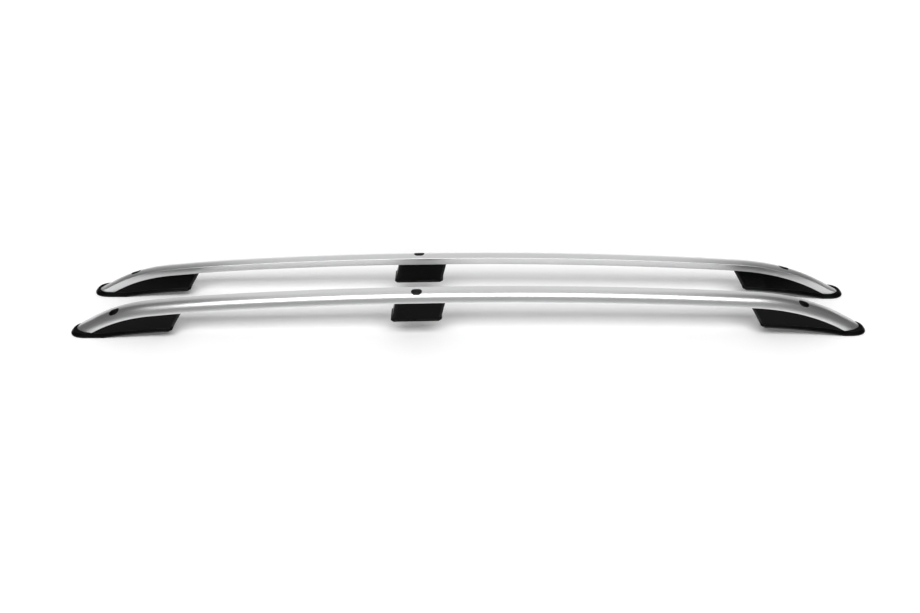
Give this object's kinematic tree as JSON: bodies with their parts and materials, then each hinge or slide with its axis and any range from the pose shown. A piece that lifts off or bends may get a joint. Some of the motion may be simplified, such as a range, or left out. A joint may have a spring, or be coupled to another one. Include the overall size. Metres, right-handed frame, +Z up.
{
  "type": "roof side rail pair",
  "caption": "Pair of arched hollow aluminium roof side rails, each on black moulded end feet with rubber gaskets and a black middle foot, with bolt holes through rail and feet.",
  "frame": {"origin": "on the floor under the middle of the pair, which stands on the tips of its end feet", "axes": "+Z up, +X along the rails towards the rear of the car, -Y the left rail's side"},
  "size_m": [1.802, 0.1976, 0.1144],
  "materials": {
    "satin_aluminium": "satin anodised",
    "black_plastic": "fine moulded satin",
    "rubber": "matt",
    "zinc_steel": "zinc plated"
  },
  "bodies": {
    "root": {"left_rail": "satin_aluminium", "left_front_foot": "black_plastic", "left_middle_foot": "black_plastic", "left_rear_foot": "black_plastic", "left_front_gasket": "rubber", "left_rear_gasket": "rubber", "left_front_sleeve": "zinc_steel", "left_middle_sleeve": "zinc_steel", "left_rear_sleeve": "zinc_steel", "left_front_screw_1": "zinc_steel", "left_front_screw_2": "zinc_steel", "left_middle_screw_1": "zinc_steel", "left_middle_screw_2": "zinc_steel", "left_rear_screw_1": "zinc_steel", "left_rear_screw_2": "zinc_steel", "right_rail": "satin_aluminium", "right_front_foot": "black_plastic", "right_middle_foot": "black_plastic", "right_rear_foot": "black_plastic", "right_front_gasket": "rubber", "right_rear_gasket": "rubber", "right_front_sleeve": "zinc_steel", "right_middle_sleeve": "zinc_steel", "right_rear_sleeve": "zinc_steel", "right_front_screw_1": "zinc_steel", "right_front_screw_2": "zinc_steel", "right_middle_screw_1": "zinc_steel", "right_middle_screw_2": "zinc_steel", "right_rear_screw_1": "zinc_steel", "right_rear_screw_2": "zinc_steel"}
  },
  "joints": []
}
